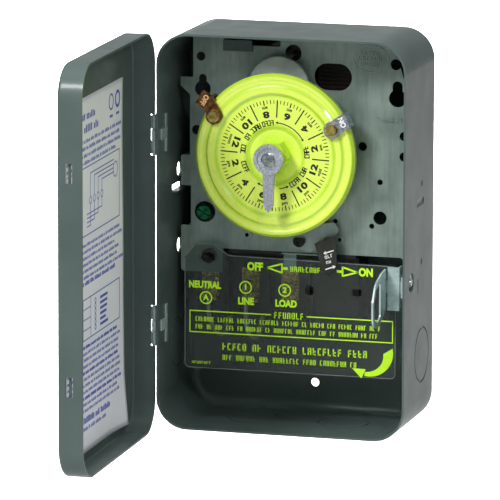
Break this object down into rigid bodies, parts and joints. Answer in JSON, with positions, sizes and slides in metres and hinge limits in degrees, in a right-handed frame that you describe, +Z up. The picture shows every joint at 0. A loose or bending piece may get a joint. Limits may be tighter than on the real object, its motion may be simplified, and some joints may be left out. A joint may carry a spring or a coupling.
{
  "type": "mechanical dial time switch in steel case",
  "caption": "Wall-mounted 24-hour dial time switch: hinged steel case, yellow dial with on and off trippers, hand lever, terminals behind an insulator sheet.",
  "frame": {"origin": "centre of the case's back face, which lies on the wall", "axes": "+X to the right seen from the front, +Y into the wall, +Z up; the door hinges on the left and opens towards -Y"},
  "size_m": [0.138, 0.1843, 0.197],
  "materials": {
    "grey_enamel": "semi-gloss enamel",
    "zinc_plate": "zinc plated sheet",
    "steel_pins": "turned steel",
    "brass": "machined brass",
    "copper_brass": "tarnished brass",
    "bright_clip": "nickel plate",
    "silver_contact": "silver alloy",
    "dial_plastic": "yellow-green moulding",
    "grey_nylon": "moulded gear plastic",
    "dark_moulding": "phenolic moulding",
    "insulator_sheet": "smoke grey flexible sheet",
    "label_paper": "printed paper",
    "ground_green": "green dyed screw",
    "dark_washer": "blackened steel",
    "motor_can": "drawn can",
    "lamination": "bare laminations",
    "coil_tape": "varnished tape",
    "lead_insulation": "lead covering"
  },
  "bodies": {
    "case": {"case_shell": "grey_enamel", "hinge_strap_upper": "zinc_plate", "hinge_strap_lower": "zinc_plate", "hinge_pin_upper": "steel_pins", "hinge_pin_lower": "steel_pins", "mechanism_plate": "zinc_plate", "hanger_tab": "grey_enamel", "ground_washer": "dark_washer", "ground_screw": "ground_green", "block_rivets": "zinc_plate", "insulator_post": "dark_washer", "terminal_block": "dark_moulding", "neutral_terminal": "brass", "line_terminal": "brass", "load_terminal": "brass", "load_blade": "bright_clip", "terminal_screws": "brass", "fixed_contact": "silver_contact", "contact_pivot": "steel_pins", "motor_gearcase": "motor_can", "motor_core": "lamination", "motor_coil": "coil_tape", "motor_spacers": "steel_pins", "wheel_stud": "steel_pins", "centre_post": "steel_pins", "pointer": "bright_clip", "pointer_screw": "bright_clip", "latch_bracket": "zinc_plate", "latch_screw": "steel_pins", "neutral_lead": "lead_insulation", "line_lead": "lead_insulation"},
    "door": {"door_pan": "grey_enamel", "door_hinge_leaf_upper": "zinc_plate", "door_hinge_leaf_lower": "zinc_plate", "door_label": "label_paper"},
    "arbor": {"dial_arbor": "steel_pins", "drive_gear": "brass", "clutch_spring": "steel_pins"},
    "dial": {"dial_disc": "dial_plastic", "dial_hub": "dial_plastic"},
    "tripper_on": {"tripper_on": "bright_clip", "tripper_on_screw": "brass"},
    "tripper_off": {"tripper_off": "copper_brass", "tripper_off_screw": "bright_clip"},
    "intermediate": {"intermediate_wheel": "grey_nylon", "intermediate_pinion": "brass"},
    "motor_shaft": {"motor_pinion": "dark_washer"},
    "lever": {"lever_shaft": "dark_washer", "lever_bracket": "zinc_plate", "manual_lever": "dark_moulding", "switch_cam": "dark_moulding"},
    "contact": {"contact_arm": "brass", "moving_contact": "silver_contact"},
    "latch": {"latch_spring": "zinc_plate", "latch_button": "zinc_plate"},
    "insulator": {"insulator": "insulator_sheet"}
  },
  "joints": [
    {"name": "door_swing", "type": "hinge", "parent": "case", "child": "door", "pos_m": [-0.0639, -0.0564, 0], "axis": [0, 0, 1], "range_deg": [-71, 88.6]},
    {"name": "dial_turn", "type": "hinge", "parent": "case", "child": "arbor", "pos_m": [-0.0065, -0.043, 0.0377], "axis": [0, -1, 0], "continuous": true},
    {"name": "dial_pull", "type": "slide", "parent": "arbor", "child": "dial", "axis": [0, -1, 0], "range_m": [0, 0.003], "stiffness_N_per_m": 300},
    {"name": "tripper_on_shift", "type": "hinge", "parent": "dial", "child": "tripper_on", "pos_m": [-0.0065, -0.043, 0.0377], "axis": [0, -1, 0], "range_deg": [-90, 45]},
    {"name": "tripper_off_shift", "type": "hinge", "parent": "dial", "child": "tripper_off", "pos_m": [-0.0065, -0.043, 0.0377], "axis": [0, -1, 0], "range_deg": [-45, 90]},
    {"name": "intermediate_spin", "type": "hinge", "parent": "case", "child": "intermediate", "pos_m": [-0.007, -0.035, 0.0697], "axis": [0, -1, 0], "continuous": true},
    {"name": "motor_spin", "type": "hinge", "parent": "case", "child": "motor_shaft", "pos_m": [-0.0015, -0.035, 0.08595], "axis": [0, -1, 0], "continuous": true},
    {"name": "lever_throw", "type": "hinge", "parent": "case", "child": "lever", "pos_m": [0.0029, -0.035, -0.0056], "axis": [0, 1, 0], "range_deg": [0, 28]},
    {"name": "contact_swing", "type": "hinge", "parent": "case", "child": "contact", "pos_m": [0.012, -0.017, -0.0122], "axis": [0, 1, 0], "range_deg": [0, 3]},
    {"name": "latch_press", "type": "slide", "parent": "case", "child": "latch", "axis": [-1, 0, 0], "range_m": [0, 0.0025], "stiffness_N_per_m": 600},
    {"name": "insulator_swing", "type": "hinge", "parent": "case", "child": "insulator", "pos_m": [-0.0433, -0.035, -0.0156], "axis": [0, 1, 0], "range_deg": [0, 5]}
  ],
  "couplings": [
    {"joint": "intermediate_spin", "follows": "dial_turn", "ratio": -11.8},
    {"joint": "motor_spin", "follows": "dial_turn", "ratio": 90.467},
    {"joint": "contact_swing", "follows": "lever_throw", "ratio": 0.10714}
  ]
}
